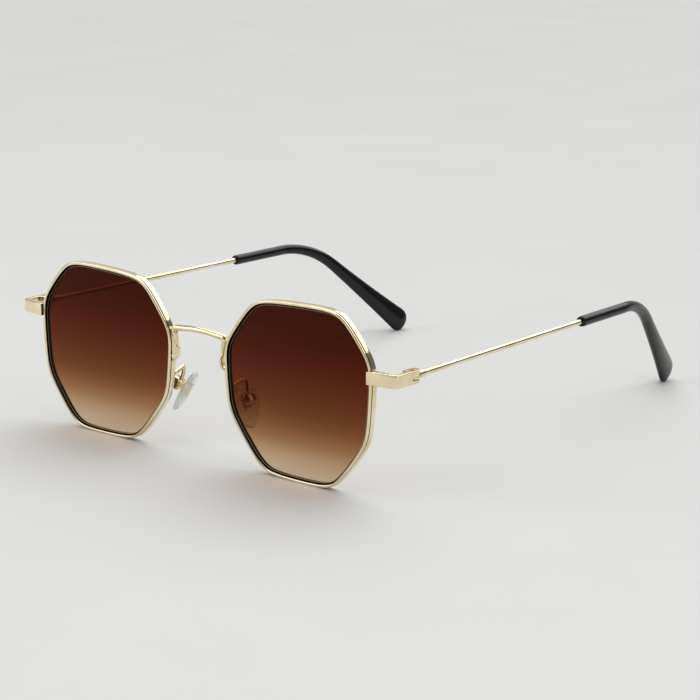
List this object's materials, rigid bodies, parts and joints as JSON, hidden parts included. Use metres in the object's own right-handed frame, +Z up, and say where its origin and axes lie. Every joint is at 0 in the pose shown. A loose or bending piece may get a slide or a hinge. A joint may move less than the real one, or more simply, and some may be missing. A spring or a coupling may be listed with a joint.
{
  "type": "polygonal eyeglasses",
  "caption": "Open metal eyeglasses with eight-sided rims, tinted lenses, wire bridge, nose pads and folding side arms.",
  "frame": {"origin": "on the ground under the middle of the whole open object", "axes": "+X to the wearer's left, +Y from the front to the back, along the side arms, +Z up"},
  "size_m": [0.1308, 0.1512, 0.0459],
  "materials": {
    "rim_metal": "polished pale gold plating",
    "fitting_metal": "polished pale gold plating",
    "screw_metal": "plated steel screws",
    "lens_tint": "brown tint fading to tan at the bottom",
    "tip_black": "polished black acetate",
    "pad_clear": "clear soft silicone"
  },
  "bodies": {
    "front": {"bridge": "rim_metal", "left_rim": "rim_metal", "right_rim": "rim_metal", "left_lens": "lens_tint", "right_lens": "lens_tint", "left_end_piece": "fitting_metal", "right_end_piece": "fitting_metal", "left_closing_blocks": "fitting_metal", "right_closing_blocks": "fitting_metal", "left_lock_screw": "screw_metal", "right_lock_screw": "screw_metal", "left_hinge_screw": "screw_metal", "right_hinge_screw": "screw_metal", "left_pad_arm": "fitting_metal", "right_pad_arm": "fitting_metal", "left_pad_box": "fitting_metal", "right_pad_box": "fitting_metal", "left_pad_screw": "screw_metal", "right_pad_screw": "screw_metal"},
    "left_side_arm": {"left_arm_shoulder": "fitting_metal", "left_arm_wire": "rim_metal", "left_arm_tip": "tip_black"},
    "left_pad": {"left_nose_pad": "pad_clear", "left_pad_core": "fitting_metal"},
    "right_side_arm": {"right_arm_shoulder": "fitting_metal", "right_arm_wire": "rim_metal", "right_arm_tip": "tip_black"},
    "right_pad": {"right_nose_pad": "pad_clear", "right_pad_core": "fitting_metal"}
  },
  "joints": [
    {"name": "left_arm_fold", "type": "hinge", "parent": "front", "child": "left_side_arm", "pos_m": [0.06404, -0.06602, 0.03098], "axis": [-0.0436, 0, 0.999], "range_deg": [0, 87]},
    {"name": "right_arm_fold", "type": "hinge", "parent": "front", "child": "right_side_arm", "pos_m": [-0.06404, -0.06602, 0.03098], "axis": [-0.0436, 0, -0.999], "range_deg": [0, 80]},
    {"name": "left_pad_rock", "type": "hinge", "parent": "front", "child": "left_pad", "pos_m": [0.01244, -0.06818, 0.01647], "axis": [0.454, 0.891, 0], "range_deg": [-8, 8]},
    {"name": "right_pad_rock", "type": "hinge", "parent": "front", "child": "right_pad", "pos_m": [-0.01244, -0.06818, 0.01647], "axis": [-0.454, 0.891, 0], "range_deg": [-8, 8]}
  ]
}
